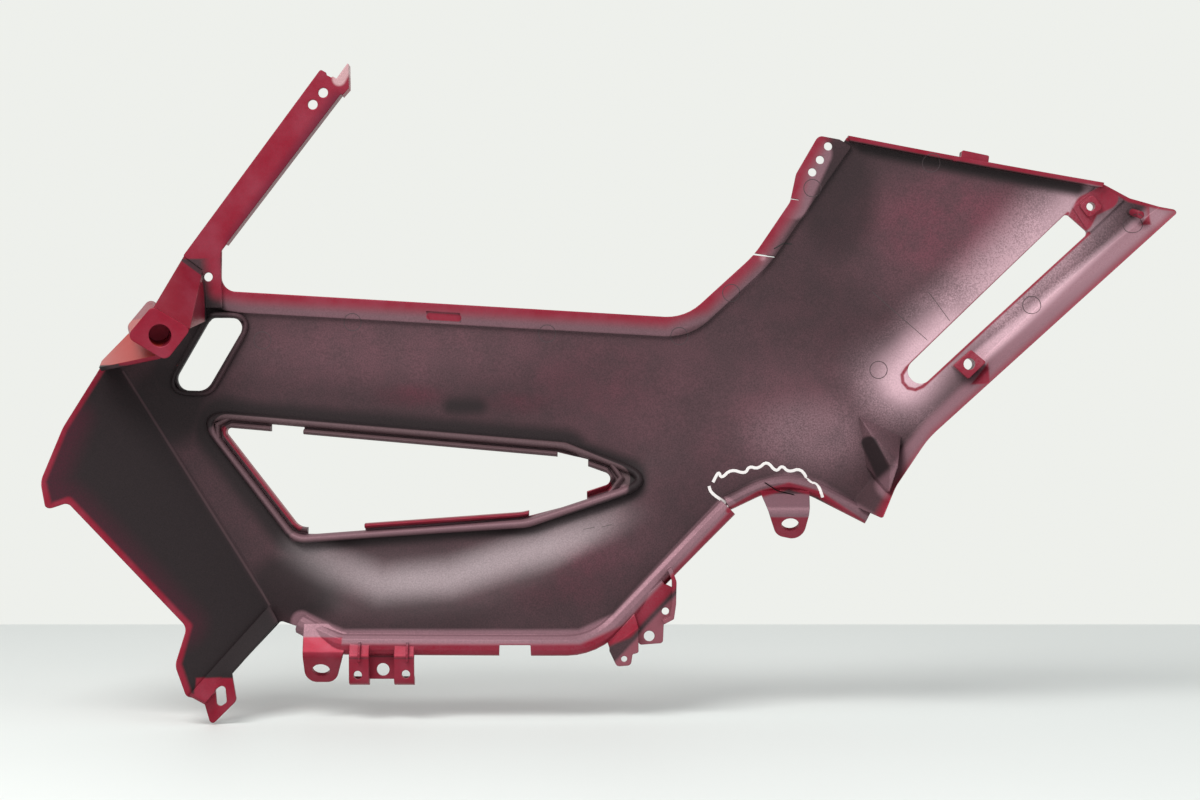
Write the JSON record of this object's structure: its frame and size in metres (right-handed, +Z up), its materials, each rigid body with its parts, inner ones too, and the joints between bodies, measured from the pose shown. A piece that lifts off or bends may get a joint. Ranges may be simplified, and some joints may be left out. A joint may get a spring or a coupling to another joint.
{
  "type": "motorcycle side cover",
  "caption": "Moulded fairing side cover with a long window, stepped flanges, a slanting strut and mounting ears, painted outside and bare inside.",
  "frame": {"origin": "middle of the main ear's bore, on the lower edge", "axes": "+X along the cover towards its pointed end, +Y outboard towards the painted face, +Z up"},
  "size_m": [0.6645, 0.0689, 0.3929],
  "materials": {
    "cover": "metallic red paint outside, dark plastic with red overspray inside"
  },
  "bodies": {
    "root": {"side_cover": "cover"}
  },
  "joints": []
}
